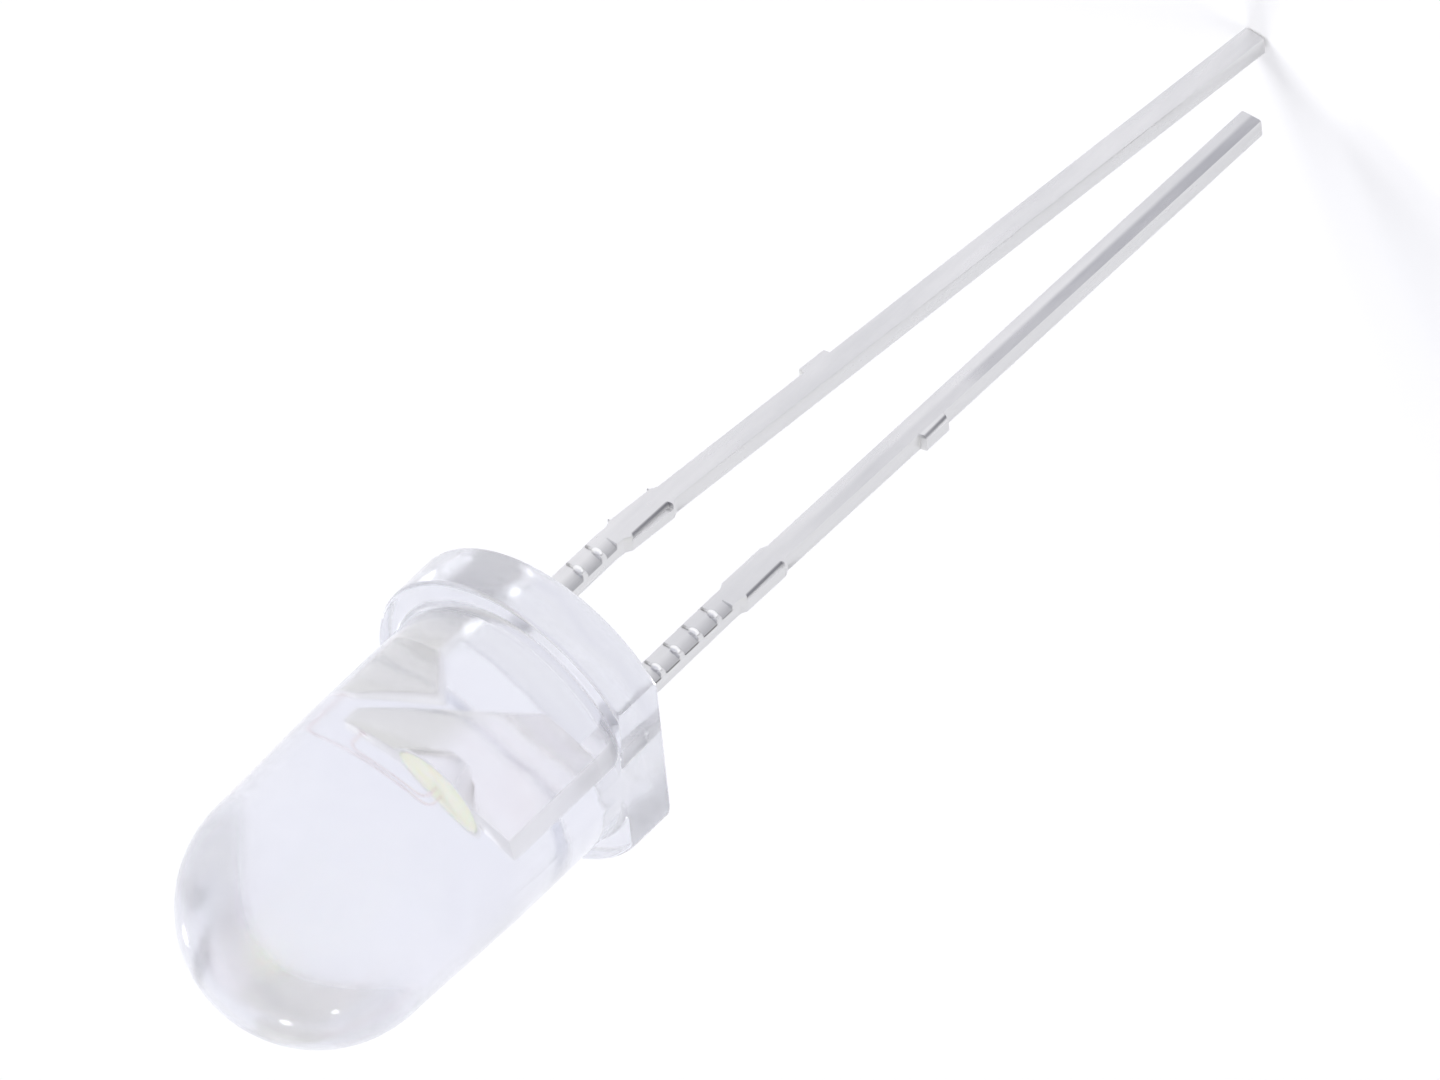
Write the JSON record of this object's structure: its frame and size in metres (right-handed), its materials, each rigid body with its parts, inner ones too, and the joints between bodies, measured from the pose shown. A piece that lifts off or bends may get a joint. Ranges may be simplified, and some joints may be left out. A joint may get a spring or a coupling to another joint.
{
  "type": "through hole led",
  "caption": "Round clear lens LED with a flange and flat, ribbed stopper leads of unequal length, a reflector cup with yellow phosphor, chip and bond wires",
  "frame": {"origin": "middle of the underside of the flange, on the lens's axis and between the two leads, where the LED faces its circuit board", "axes": "+Z runs along the lens's axis out through the dome, away from the board; +X is from the anode lead to the cathode lead and its flat; the ribbed faces of the leads are towards +Y"},
  "size_m": [0.0054, 0.0058, 0.0277],
  "materials": {
    "clear_epoxy": "gloss",
    "tinned_steel": "satin",
    "die_attach_paste": "satin",
    "chip_crystal": "gloss",
    "bond_gold": "polished",
    "phosphor_resin": "satin"
  },
  "bodies": {
    "root": {"lens": "clear_epoxy", "cathode_lead": "tinned_steel", "anode_lead": "tinned_steel", "die_attach": "die_attach_paste", "led_chip": "chip_crystal", "bond_pads": "bond_gold", "cathode_wire": "bond_gold", "anode_wire": "bond_gold", "phosphor": "phosphor_resin"}
  },
  "joints": []
}
